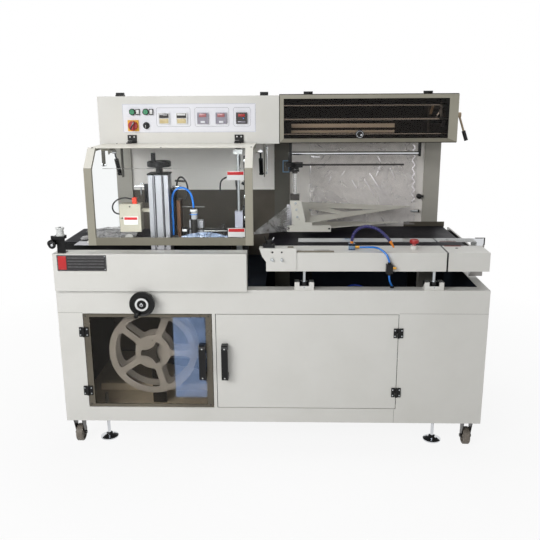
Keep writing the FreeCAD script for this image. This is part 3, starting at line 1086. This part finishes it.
def make_infeed_cover():
    """Long cover, rubber seam, end cover, sensor bracket, clamp and stop-button ring."""
    deep = "belt_front - rail_gap - rail_thick - table_front"
    high = "infeed_top - table_low"
    pieces = []
    for tag, left, right in (("long", "table_left", "seam_left"), ("end", "seam_left + seam_wide", "table_right")):
        wide = "%s - (%s)" % (right, left)
        top = box("table_top_" + tag, (left, "table_front", "infeed_top - sheet"), (wide, deep, "sheet"))
        if tag == "long":
            hole = bar("estop_hole", "z", ("estop_x", "estop_y", "infeed_top - sheet - 1"),
                       "shaft_radius + running_gap", "sheet + 2")
            top = cut("table_top_cut", top, [hole])
        pieces.append(top)
        for side, y in (("front", "table_front"), ("back", "table_front + %s - sheet" % deep)):
            pieces.append(box("table_%s_%s" % (side, tag), (left, y, "table_low"), (wide, "sheet", high + " - sheet")))
        for side, x in (("left", left), ("right", right + " - sheet")):
            pieces.append(box("table_end_%s_%s" % (side, tag), (x, "table_front + sheet", "table_low"),
                              ("sheet", deep + " - 2 * sheet", high + " - sheet")))
    pieces.append(box("seam", ("seam_left", "table_front + 1", "table_low + 1"), ("seam_wide", deep + " - 2", high + " - 2")))
    ring = bar("estop_collar", "z", ("estop_x", "estop_y", "infeed_top"), "estop_ring", "estop_base")
    bore = bar("estop_bore", "z", ("estop_x", "estop_y", "infeed_top - 1"), "shaft_radius + running_gap", "estop_base + 2")
    pieces.append(cut("estop_sleeve", ring, [bore]))
    bracket = extrude("sensor_plate", "XZ_Plane", [
        ("0", "93"), ("147", "93"), ("147", "8"), ("49", "8"), ("12", "60")], "4",
        [("49", "78", "2.5"), ("89", "78", "2.5")])
    put(bracket, ("813", "table_front", "table_low"))
    tab = box("sensor_tab", ("813", "table_front - 4", "table_low + 89"), ("147", "45", "4"))
    pieces.append(fuse("sensor_bracket", [bracket, tab] + [
        bar("sensor_stud_%d" % number, "y", (x, "table_front - 12", "table_low + 50"), "5", "9")
        for number, x in enumerate(("862", "902"))]))
    base = box("clamp_block", ("828", "table_front + 8", "table_low + 93"), ("46", "28", "14"))
    knob = bar("clamp_knob", "z", ("851", "table_front + 22", "table_low + 107"), "13", "14")
    pieces.append(fuse("clamp_piece", [base, knob]))
    finish("infeed_cover", group("infeed_cover_group", pieces))


def make_estop():
    """Red mushroom button on its stem."""
    mushroom = turned("estop_form", [
        ("0", "0"), ("shaft_radius", "0"), ("shaft_radius", "estop_base + 4 + estop_travel"),
        ("estop_radius - 2", "estop_base + 5 + estop_travel"), ("estop_radius", "estop_base + 10 + estop_travel"),
        ("estop_radius - 1", "estop_base + 17 + estop_travel"), ("estop_radius - 6", "estop_base + 20 + estop_travel"),
        ("0", "estop_base + 21 + estop_travel")])
    finish("estop_button", mushroom, ("estop_x", "estop_y", "infeed_top"))


def make_air_fittings():
    """Clear air block, brass elbow, valve with brass knob and the grommet on the rim."""
    block = box("air_block", ("air_x", "air_y", "infeed_top"), ("air_wide", "air_wide", "air_high"))
    brass = bar("air_brass", "x", ("air_x + air_wide", "air_y + air_wide / 2", "infeed_top + 9"), "6", "18")
    valve = box("valve_body", ("valve_x", "table_front - valve_deep", "valve_low"), ("valve_wide", "valve_deep", "valve_high"))
    neck = bar("valve_neck", "z", ("valve_x + valve_wide / 2", "table_front - valve_deep / 2", "valve_low - 8"),
               "7", "valve_high + 16")
    knob = bar("valve_knob", "x", ("valve_x + valve_wide", "table_front - valve_deep / 2", "valve_low + 20"), "5", "14")
    grommet = bar("rim_gland", "z", ("gland_x", "gland_y", "base_top"), "8", "8")
    finish("air_valve", group("air_valve_group", [fuse("air_block_joined", [block, brass]),
                                                  fuse("valve_joined", [valve, neck, knob]), grommet]))


# Hoses and cables


def hose(name, points, radius):
    """A round hose on straight runs joined by tangent arcs, with its radii printed."""
    corners = [Vector(*point) for point in points]
    edges = []
    start = corners[0]
    radii = []
    for before, corner, after in zip(corners, corners[1:], corners[2:]):
        run_in = (corner - before).Length
        run_out = (after - corner).Length
        way_in = (corner - before).normalize()
        way_out = (after - corner).normalize()
        turn = way_in.getAngle(way_out)
        trim = 0.45 * min(run_in, run_out)
        bend = trim / math.tan(turn / 2)
        radii.append(round(bend, 1))
        first = corner - way_in * trim
        last = corner + way_out * trim
        inward = (way_out - way_in).normalize()
        depth = bend / math.cos(turn / 2) - bend
        middle = corner + inward * depth
        edges.append(Part.LineSegment(start, first).toShape())
        edges.append(Part.Arc(first, middle, last).toShape())
        start = last
    edges.append(Part.LineSegment(start, corners[-1]).toShape())
    path = Part.Wire(edges)
    heading = (corners[1] - corners[0]).normalize()
    ring = Part.Wire([Part.makeCircle(radius, corners[0], heading)])
    pipe = path.makePipeShell([ring], True, True)
    length = path.Length
    expected = math.pi * radius * radius * length
    print(name, "length", round(length, 1), "radii", radii, "volume ratio", round(pipe.Volume / expected, 3))
    feature = document.addObject("Part::Feature", name)
    feature.Shape = pipe
    return feature


def make_hoses():
    """Segmented air hose, blue supply tubes, the head's hose and the junction box cable."""
    air_y = N["air_y"] + N["air_wide"] / 2
    air_top = N["infeed_top"] + N["air_high"]
    blow = [(N["air_x"] + N["air_wide"] / 2, air_y, air_top), (1183, air_y, 889), (1190, 91, 911), (1206, 88, 929),
            (1229, 83, 939), (1255, 77, 939), (1280, 71, 931), (1302, 64, 915), (1321, 57, 895), (1336, 51, 874),
            (1344, 48, 860)]
    finish("air_hose", group("air_hose_group", [hose("air_hose_tube", blow, N["hose_radius"])]))
    valve_x = N["valve_x"] + N["valve_wide"] / 2
    valve_y = N["table_front"] - N["valve_deep"] / 2
    supply = [(N["air_x"] + N["air_wide"] + 18, air_y, N["infeed_top"] + 9), (1233, 92, 852), (1252, 84, 854),
              (1268, 69, 857), (1281, 50, 858), (1294, 34, 854), (1307, 22, 844), (1318, 17, 830),
              (valve_x, valve_y, N["valve_low"] + N["valve_high"] + 8)]
    drop = [(valve_x, valve_y, N["valve_low"] - 8), (1326, 20, 738), (1333, 32, 720),
            (N["gland_x"], N["gland_y"], N["base_top"] + 8)]
    finish("air_tube", group("air_tube_group", [hose("supply_tube", supply, N["tube_radius"]),
                                                hose("drop_tube", drop, N["tube_radius"])]))
    port_x = N["blade_x"] - 18
    port_y = N["post_y"] + 34
    blue = [(port_x, port_y, N["head_bottom"] + 40), (port_x + 1, port_y, 938), (port_x, port_y, 978),
            (port_x + 0.5, port_y, 1020), (port_x, port_y + 1, 1062), (484, 97, 1090), (518, 101, 1092),
            (540, 105, 1068), (547, 109, 1036), (N["cylinder_x"], N["post_y"] + 50, N["cylinder_top"])]
    finish("head_hose", group("head_hose_group", [hose("head_hose_tube", blue, N["tube_radius"])]))
    lid = N["junction_low"] + N["junction_high"]
    cable_y = N["post_y"] + 30
    cable = [(N["junction_x"] + 46, cable_y, lid + 16), (290, cable_y, lid + 23), (264, 88, lid + 22),
             (240, 88, lid + 12), (226, 87, lid - 8), (228, 86, lid - 28), (242, 86, lid - 41),
             (N["junction_x"], 86, lid - 42)]
    finish("box_cable", group("box_cable_group", [hose("box_cable_tube", cable, N["cable_radius"])]))


# Film path


def make_forming_head():
    """White bracket on the threaded rod, with its base bar and two triangular film plates."""
    clamp = box("forming_clamp", ("forming_x - 20", "forming_y - 14", "clamp_low"), ("40", "28", "clamp_high"))
    bore = bar("forming_bore", "z", ("forming_x", "forming_y", "clamp_low - 1"), "forming_rod + running_gap",
               "clamp_high + 2")
    block = cut("forming_block", clamp, [bore])
    bracket = extrude("forming_bracket", "XZ_Plane", [
        ("forming_x - 21", "clamp_low"), ("forming_x + 25", "clamp_low"), ("forming_x + 50", "bar_low + bar_high"),
        ("forming_x - 8", "bar_low + bar_high")], "bar_deep", [
        ("forming_x + 8", "clamp_low - 20", "3"), ("forming_x + 14", "clamp_low - 50", "3"),
        ("forming_x + 20", "clamp_low - 80", "3")])
    bar_front = "forming_y - forming_rod - 1 - bar_deep"
    put(bracket, ("0", bar_front + " + bar_deep", "0"))
    base = box("forming_base", ("bar_left", bar_front, "bar_low"), ("bar_long", "bar_deep", "bar_high"))
    holes = [bar("base_hole_%d" % number, "y", (x, bar_front + " - 1", "bar_low + bar_high / 2"), "4", "bar_deep + 2")
             for number, x in enumerate(("bar_left + 9", "bar_left + bar_long - 9"))]
    ear = box("forming_ear", ("forming_x + 30", bar_front, "bar_low + bar_high - 8"), ("46", "bar_deep + 26", "22"))
    upper, sketch = new_body("upper_plate", "XY_Plane")
    outline(sketch, [("0", "0"), ("477", "172"), ("-18", "218")])
    pad = upper.newObject("PartDesign::Pad", "upper_pad")
    pad.Profile = sketch
    pad.setExpression("Length", formula("plate_thick"))
    for number, corners in enumerate(([("22", "74"), ("150", "92"), ("14", "150")],
                                      [("175", "112"), ("330", "142"), ("90", "160")])):
        light = upper.newObject("Sketcher::SketchObject", "upper_light_%d" % number)
        attach(upper, light, "XY_Plane")
        outline(light, corners)
        document.recompute()
        pocket = upper.newObject("PartDesign::Pocket", "upper_pocket_%d" % number)
        pocket.Profile = light
        pocket.Type = "ThroughAll"
        pocket.Midplane = True
    put(upper, ("forming_x + 51", "forming_y - 15", "bar_low + bar_high + 8"),
        Rotation(Vector(1, 0, 0), N["plate_tilt"]))
    lower = extrude("lower_plate", "XY_Plane", [("0", "0"), ("430", "190"), ("-20", "200")], "plate_thick")
    put(lower, ("forming_x + 51", bar_front + " + bar_deep / 2", "bar_low + 6"))
    bored = cut("forming_base_bar", base, holes)
    finish("forming_head", fuse("forming_joined", [block, bracket, bored, ear, upper, lower]))


def make_forming_screw():
    """Bright threaded rod that hangs from the hanger shelf, and the black palm knob on top."""
    shelf_top = "hanger_low + 8"
    rod = bar("screw_rod", "z", ("forming_x", "forming_y", "forming_low"), "forming_rod",
              shelf_top + " + 2 - forming_low")
    collar = bar("screw_collar", "z", ("forming_x", "forming_y", "hanger_low - 8.3"), "forming_rod + 4", "8")
    finish("forming_rod", fuse("forming_rod_joined", [rod, collar]))
    knob = lobed_knob("palm_form", "palm_radius", "palm_high * 0.6", "1.42", "0.86")
    put(knob, ("forming_x", "forming_y", shelf_top + " + palm_high * 0.4"))
    boss = bar("palm_boss", "z", ("forming_x", "forming_y", shelf_top + " + 2"), "forming_rod + 6", "palm_high * 0.4")
    finish("palm_knob", fuse("palm_joined", [knob, boss]))


def make_film():
    """Film web behind the forming head and the gathered film running to the sealing head."""
    web = box("film_sheet", ("web_left", "web_y", "web_low"), ("web_wide", "web_thick", "box_bottom + wall - web_low"))
    fan = extrude("film_fan", "XZ_Plane", [
        ("770", "858"), ("812", "850"), ("bar_left + 8", "bar_low + 2"), ("bar_left + 8", "985")], "web_thick")
    put(fan, ("0", "forming_y - forming_rod - bar_deep - 1.3", "0"))
    finish("film_web", group("film_web_group", [web, fan]))


# Feet and casters


def make_feet():
    """Levelling feet: pad, stem and lock nut."""
    pieces = []
    for x in ("foot_left_x", "base_length - foot_right_in"):
        for y in ("foot_front_y", "foot_back_y"):
            foot = turned("foot_form", [
                ("0", "0"), ("foot_radius", "0"), ("foot_radius", "5"), ("foot_radius * 0.5", "14"),
                ("foot_radius * 0.36", "20"), ("foot_stem", "22"), ("foot_stem", "base_bottom - 29"),
                ("foot_stem * 2", "base_bottom - 29"), ("foot_stem * 2", "base_bottom - 18"),
                ("foot_stem", "base_bottom - 18"), ("foot_stem", "foot_height"), ("0", "foot_height")])
            put(foot, (x, y, "0"))
            pieces.append(foot)
    finish("levelling_feet", group("feet_group", pieces))


def make_casters():
    """Swivel forks and wheels at the four corners."""
    right = "base_length - caster_right_in"
    corners = (("front_left", "caster_left_x", "caster_front_y"), ("front_right", right, "caster_front_y"),
               ("rear_left", "caster_left_x", "caster_back_y"), ("rear_right", right, "caster_back_y"))
    race_low = "base_bottom - 2 * wall - 2"
    hub_z = "caster_lift + caster_radius"
    outside = "caster_wide / 2 + 1 + fork_thick"
    for tag, x, y in corners:
        crown_low = race_low + " - 0.4 - fork_thick"
        crown = bar(tag + "_crown", "z", (x, y, crown_low), "caster_plate / 3", "fork_thick")
        web = box(tag + "_web", (x + " - (%s)" % outside, y + " - 16", crown_low),
                  ("2 * (%s)" % outside, "32 + caster_trail", "fork_thick"))
        pieces = [crown, web]
        for side, start in (("left", x + " - (%s)" % outside), ("right", x + " + caster_wide / 2 + 1")):
            cheek = extrude("%s_cheek_%s" % (tag, side), "YZ_Plane", [
                ("-16", crown_low), ("16 + caster_trail", crown_low), ("caster_trail + 12", hub_z + " - 4"),
                ("caster_trail + 5", hub_z + " - 12"), ("caster_trail - 5", hub_z + " - 12")], "fork_thick")
            put(cheek, (start, y, "0"))
            pieces.append(cheek)
        pieces.append(bar(tag + "_pin", "x", (x + " - (%s) - 2" % outside, y + " + caster_trail", hub_z),
                          "caster_axle", "2 * (%s) + 4" % outside))
        for side, start in (("left", x + " - (%s) - 5" % outside), ("right", x + " + " + outside)):
            pieces.append(bar("%s_nut_%s" % (tag, side), "x", (start, y + " + caster_trail", hub_z),
                              "caster_axle * 1.8", "5"))
        finish("fork_" + tag, fuse(tag + "_fork_joined", pieces))
        half = "caster_wide / 2"
        wheel = turned(tag + "_wheel_form", [
            ("caster_axle + running_gap", "-" + half), ("12", "-" + half), ("14", "-8"), ("27", "-8"),
            ("28", "1 - " + half), ("caster_radius - 3", "1 - " + half), ("caster_radius", "4 - " + half),
            ("caster_radius", half + " - 4"), ("caster_radius - 3", half + " - 1"), ("28", half + " - 1"),
            ("27", "8"), ("14", "8"), ("12", half), ("caster_axle + running_gap", half)])
        wheel.Placement = FreeCAD.Placement(Vector(0, 0, 0), Rotation(Vector(0, 1, 0), 90))
        finish("wheel_" + tag, wheel, (x, y + " + caster_trail", hub_z))


make_base()
make_shell()
make_front_cover()
make_doors()
make_fixed_hinges()
make_reel()
make_front_wheel()
make_post_wheel()
make_columns()
make_back_wall()
make_control_box()
make_control_panel()
make_controls()
make_film_housing()
make_film_rods()
make_idler()
make_film_door()
make_clamp_lever()
make_hood()
make_struts()
make_post()
make_seal_head()
make_junction_box()
make_guide_rod()
make_outfeed()
make_infeed()
make_infeed_cover()
make_estop()
make_air_fittings()
make_hoses()
make_forming_head()
make_forming_screw()
make_film()
make_feet()
make_casters()
document.recompute()

failed = [item.Label for item in document.Objects if "Invalid" in item.State or "Error" in item.State]
if failed:
    raise RuntimeError("failed objects: " + ", ".join(failed))
for piece in PARTS:
    if piece.Shape.isNull() or not piece.Shape.isValid() or not piece.Shape.Solids:
        raise RuntimeError("bad shape: " + piece.Label)

os.makedirs("parts", exist_ok=True)
for piece in PARTS:
    piece.Shape.exportStep("parts/%s.step" % piece.Label)
print(len(PARTS), "sub-parts written")
